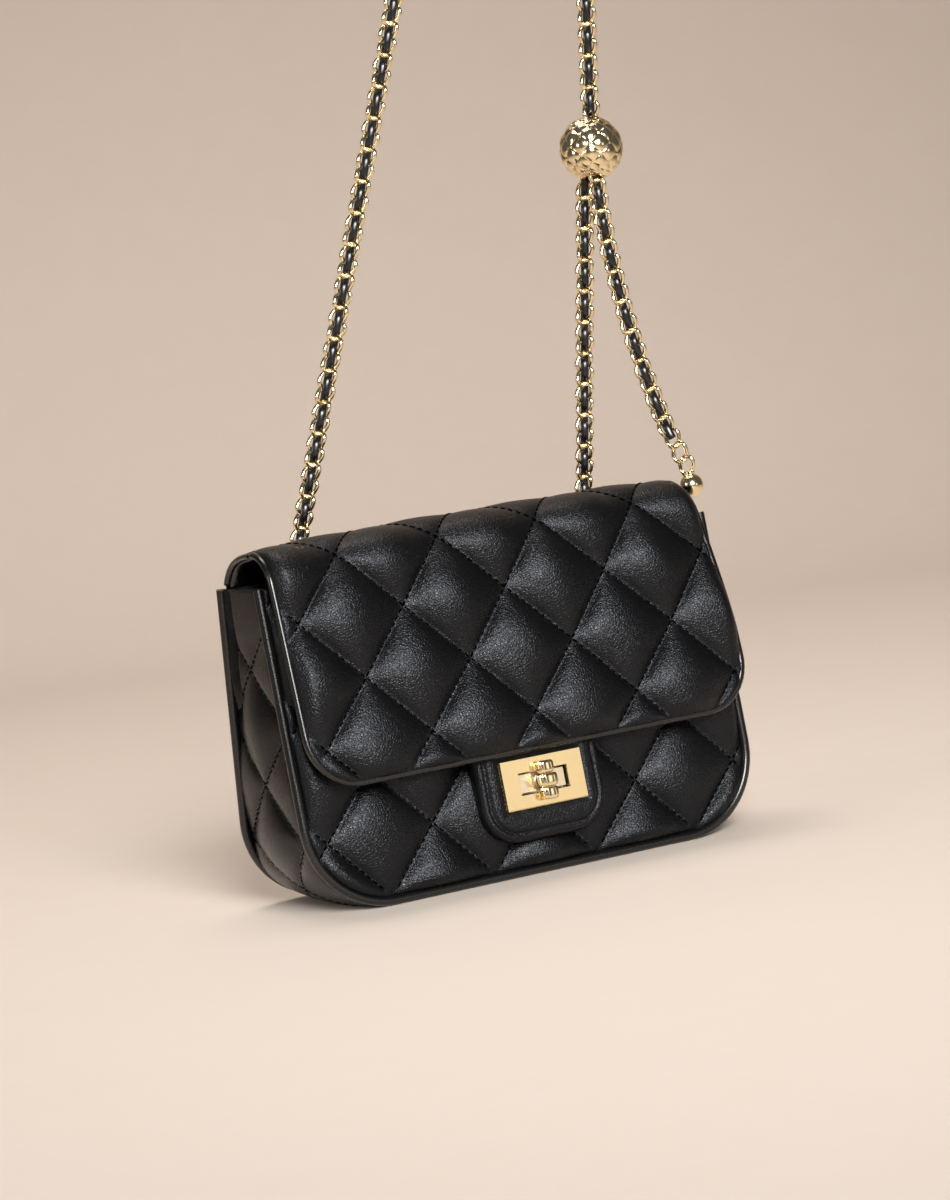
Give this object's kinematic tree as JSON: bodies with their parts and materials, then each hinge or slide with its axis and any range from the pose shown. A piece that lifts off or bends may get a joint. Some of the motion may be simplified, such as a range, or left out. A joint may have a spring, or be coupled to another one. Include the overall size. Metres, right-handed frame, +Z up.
{
  "type": "crossbody purse",
  "caption": "Small quilted flap purse with a turning lock and a laced chain shoulder strap shortened by a sliding ball.",
  "frame": {"origin": "middle of the flat base, on the surface the purse stands on", "axes": "+Z up, -Y the front with the lock, +X to the right seen from the front"},
  "size_m": [0.2018, 0.0787, 0.4627],
  "materials": {
    "quilted_leather": "fine pebbled, satin",
    "pebbled_leather": "fine pebbled, satin",
    "smooth_leather": "smooth, semi-gloss",
    "board": "plain fibre board",
    "foam": "foam",
    "lining_cloth": "fine twill",
    "gilt_metal": "polished pale gold plating",
    "steel": "nickel plated",
    "laced_chain": "polished chain laced with black leather",
    "rubber": "matt"
  },
  "bodies": {
    "bag": {"anchor_rings": "gilt_metal", "anchor_rivets": "gilt_metal", "anchor_tabs": "smooth_leather", "back_board": "board", "back_facing": "smooth_leather", "back_lining": "lining_cloth", "back_panel": "quilted_leather", "back_piping": "smooth_leather", "base_board": "board", "eyelet_washers": "gilt_metal", "eyelets": "gilt_metal", "flap_root": "quilted_leather", "flap_root_lining": "smooth_leather", "front_board": "board", "front_facing": "smooth_leather", "front_lining": "lining_cloth", "front_panel": "quilted_leather", "front_piping": "smooth_leather", "knob_spring": "steel", "lock_base": "gilt_metal", "lock_washer": "steel", "side_lining": "lining_cloth", "side_strip": "quilted_leather", "slider_ball": "gilt_metal", "slider_grip": "rubber", "slip_pocket": "lining_cloth", "strap_fixed": "laced_chain", "strap_through": "laced_chain", "tail_bead": "gilt_metal"},
    "flap": {"flap_outer": "quilted_leather", "flap_board": "board", "flap_lining": "smooth_leather", "lock_tab_back": "smooth_leather", "lock_tab_core": "foam", "lock_tab_front": "pebbled_leather", "lock_frame": "gilt_metal", "lock_frame_back": "steel"},
    "knob": {"knob_lever": "gilt_metal", "knob_post": "gilt_metal", "knob_clip": "steel"}
  },
  "joints": [
    {"name": "flap_hinge", "type": "hinge", "parent": "bag", "child": "flap", "pos_m": [0, 0.006, 0.1351], "axis": [-1, 0, 0], "range_deg": [0, 85]},
    {"name": "knob_turn", "type": "hinge", "parent": "bag", "child": "knob", "pos_m": [0, -0.02709, 0.03377], "axis": [0, -0.9934, 0.1149], "range_deg": [0, 90]}
  ]
}
